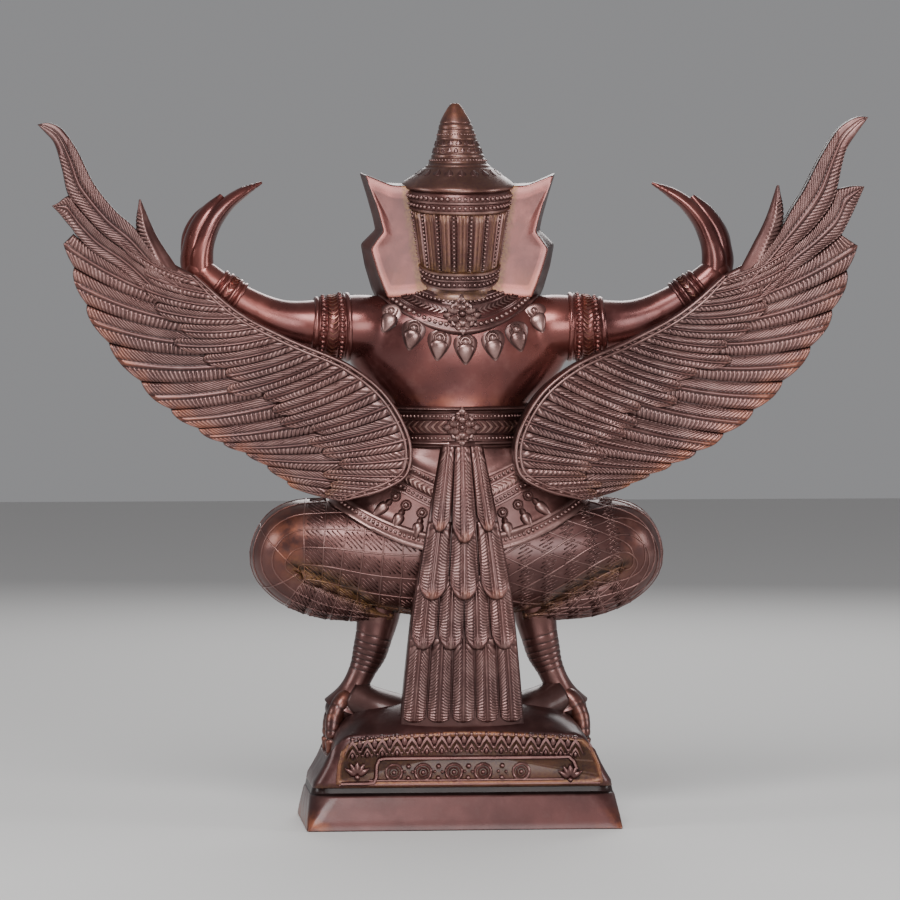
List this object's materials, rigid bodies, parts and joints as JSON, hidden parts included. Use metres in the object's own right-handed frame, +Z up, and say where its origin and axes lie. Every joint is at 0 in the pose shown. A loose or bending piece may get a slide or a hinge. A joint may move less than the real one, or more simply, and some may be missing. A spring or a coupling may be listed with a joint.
{
  "type": "garuda figure",
  "caption": "Cast brass garuda with spread wings, raised hands and a spired crown, squatting on an oblong carved plinth.",
  "frame": {"origin": "centre of the plinth's underside", "axes": "+Z up, +X towards the figure's own left wing, the figure faces -Y"},
  "size_m": [0.5, 0.1068, 0.435],
  "materials": {
    "figure_brass": "dark red-brown patina, rubbed orange-brown on the edges",
    "plinth_brass": "dark red-brown patina, duller, with dirt in the carving"
  },
  "bodies": {
    "root": {"garuda_figure": "figure_brass", "plinth": "plinth_brass"}
  },
  "joints": []
}
